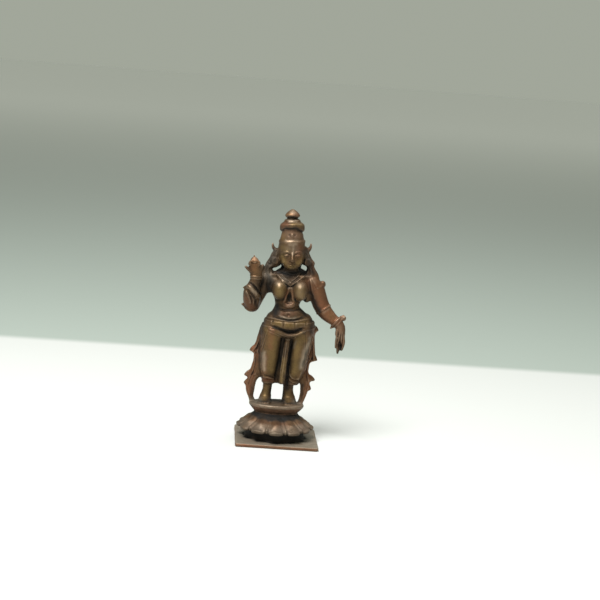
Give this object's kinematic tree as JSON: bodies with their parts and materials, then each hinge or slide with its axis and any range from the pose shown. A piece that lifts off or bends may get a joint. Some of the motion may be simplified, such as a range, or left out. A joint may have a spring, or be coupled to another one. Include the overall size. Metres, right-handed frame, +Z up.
{
  "type": "standing goddess figure",
  "caption": "Small cast copper-alloy goddess standing on a waisted dish, lotus and square plate, one hand raised with a bud, the other hanging",
  "frame": {"origin": "middle of the square plate's underside, where the figure stands", "axes": "+Z up from the plate to the crown, the figure faces -Y, +X to the viewer's right"},
  "size_m": [0.0454, 0.0354, 0.1],
  "materials": {
    "bronze": "worn satin with a dark red-brown patina, olive-gold where handled"
  },
  "bodies": {
    "root": {"consort_figure": "bronze"}
  },
  "joints": []
}
